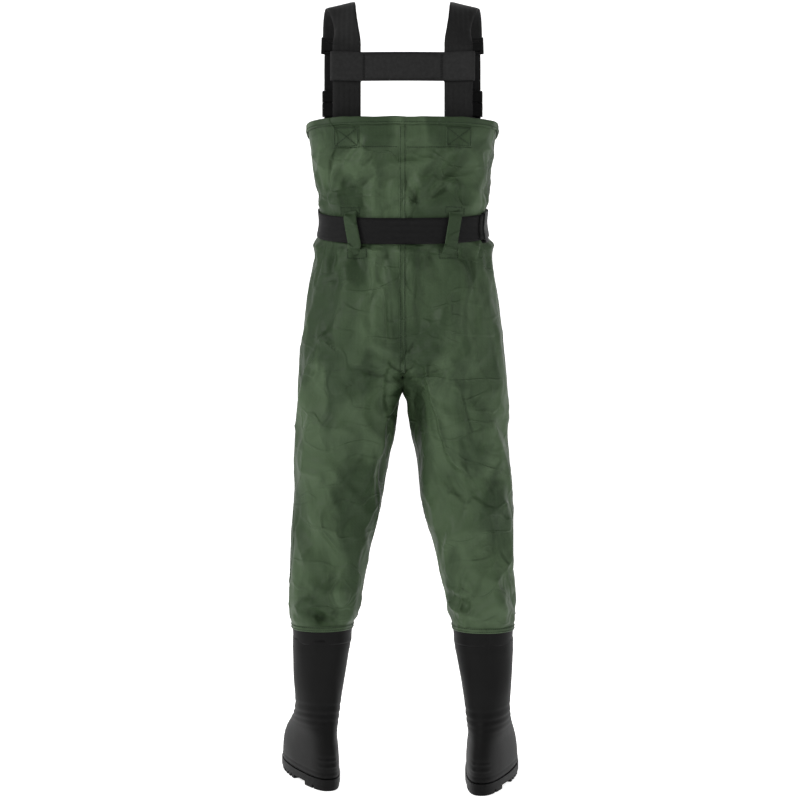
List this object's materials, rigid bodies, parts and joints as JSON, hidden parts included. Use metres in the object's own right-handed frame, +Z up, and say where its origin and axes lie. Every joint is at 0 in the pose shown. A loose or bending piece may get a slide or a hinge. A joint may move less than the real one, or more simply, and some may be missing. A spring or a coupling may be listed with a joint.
{
  "type": "chest waders",
  "caption": "Green chest waders with moulded black boots, elastic shoulder straps joined by a back yoke, and a webbing belt.",
  "frame": {"origin": "midpoint between the crowns of the two shoulder straps, where they rest on the shoulders", "axes": "+Z up, +Y the way the wearer faces, +X towards the wearer's right"},
  "size_m": [0.489, 0.3464, 1.5532],
  "materials": {
    "green_fabric": "matt coated dark olive green nylon",
    "black_rubber": "satin black moulded PVC",
    "insole_foam": "dark felt",
    "black_elastic": "ribbed black elastic",
    "grey_elastic": "charcoal woven band",
    "black_webbing": "woven black webbing",
    "black_plastic": "fine-grained black moulded plastic"
  },
  "bodies": {
    "torso": {"left_body_panel": "green_fabric", "left_shoulder_strap": "black_elastic", "left_front_webbing": "black_webbing", "left_strap_adjuster": "black_plastic", "left_front_tab": "black_webbing", "left_buckle_plug": "black_plastic", "left_back_patch": "green_fabric", "left_front_patch": "green_fabric", "left_back_belt_loop": "green_fabric", "left_front_belt_loop": "green_fabric", "right_body_panel": "green_fabric", "right_shoulder_strap": "black_elastic", "right_front_webbing": "black_webbing", "right_strap_adjuster": "black_plastic", "right_front_tab": "black_webbing", "right_buckle_plug": "black_plastic", "right_back_patch": "green_fabric", "right_front_patch": "green_fabric", "right_back_belt_loop": "green_fabric", "right_front_belt_loop": "green_fabric", "top_hem": "green_fabric", "centre_back_seam": "green_fabric", "centre_front_seam": "green_fabric", "belt_webbing": "black_webbing", "belt_slider": "black_plastic", "belt_tail": "black_webbing", "chest_pocket": "green_fabric", "flap_binding": "green_fabric", "belt_plug": "black_plastic"},
    "left_thigh": {"left_thigh_panel": "green_fabric"},
    "left_shin": {"left_shin_panel": "green_fabric", "left_boot_upper": "black_rubber", "left_outsole": "black_rubber", "left_insole": "insole_foam", "left_boot_collar": "black_rubber"},
    "left_socket": {"left_buckle_socket": "black_plastic"},
    "right_thigh": {"right_thigh_panel": "green_fabric"},
    "right_shin": {"right_shin_panel": "green_fabric", "right_boot_upper": "black_rubber", "right_outsole": "black_rubber", "right_insole": "insole_foam", "right_boot_collar": "black_rubber"},
    "right_socket": {"right_buckle_socket": "black_plastic"},
    "belt_socket_body": {"belt_socket": "black_plastic"},
    "yoke": {"back_yoke": "grey_elastic"},
    "flap": {"pocket_flap": "green_fabric"}
  },
  "joints": [
    {"name": "left_hip", "type": "hinge", "parent": "torso", "child": "left_thigh", "pos_m": [-0.12, 0, -0.897], "axis": [1, 0, 0], "range_deg": [-20, 50], "stiffness_Nm_per_rad": 3},
    {"name": "left_knee", "type": "hinge", "parent": "left_thigh", "child": "left_shin", "pos_m": [-0.145, -0.01182, -1.097], "axis": [-1, 0, 0], "range_deg": [0, 70], "stiffness_Nm_per_rad": 2},
    {"name": "left_buckle_release", "type": "slide", "parent": "torso", "child": "left_socket", "axis": [0, 0, -1], "range_m": [0, 0.026]},
    {"name": "right_hip", "type": "hinge", "parent": "torso", "child": "right_thigh", "pos_m": [0.12, 0, -0.897], "axis": [1, 0, 0], "range_deg": [-20, 50], "stiffness_Nm_per_rad": 3},
    {"name": "right_knee", "type": "hinge", "parent": "right_thigh", "child": "right_shin", "pos_m": [0.145, -0.02282, -1.097], "axis": [-1, 0, 0], "range_deg": [0, 70], "stiffness_Nm_per_rad": 2},
    {"name": "right_buckle_release", "type": "slide", "parent": "torso", "child": "right_socket", "axis": [0, 0, -1], "range_m": [0, 0.026]},
    {"name": "belt_buckle_release", "type": "slide", "parent": "torso", "child": "belt_socket_body", "axis": [-1, 0, 0], "range_m": [0, 0.03]},
    {"name": "yoke_slide", "type": "slide", "parent": "torso", "child": "yoke", "axis": [0, 0, 1], "range_m": [-0.045, 0.008]},
    {"name": "flap_hinge", "type": "hinge", "parent": "torso", "child": "flap", "pos_m": [0, 0.1495, -0.284], "axis": [1, 0, 0], "range_deg": [0, 120]}
  ]
}
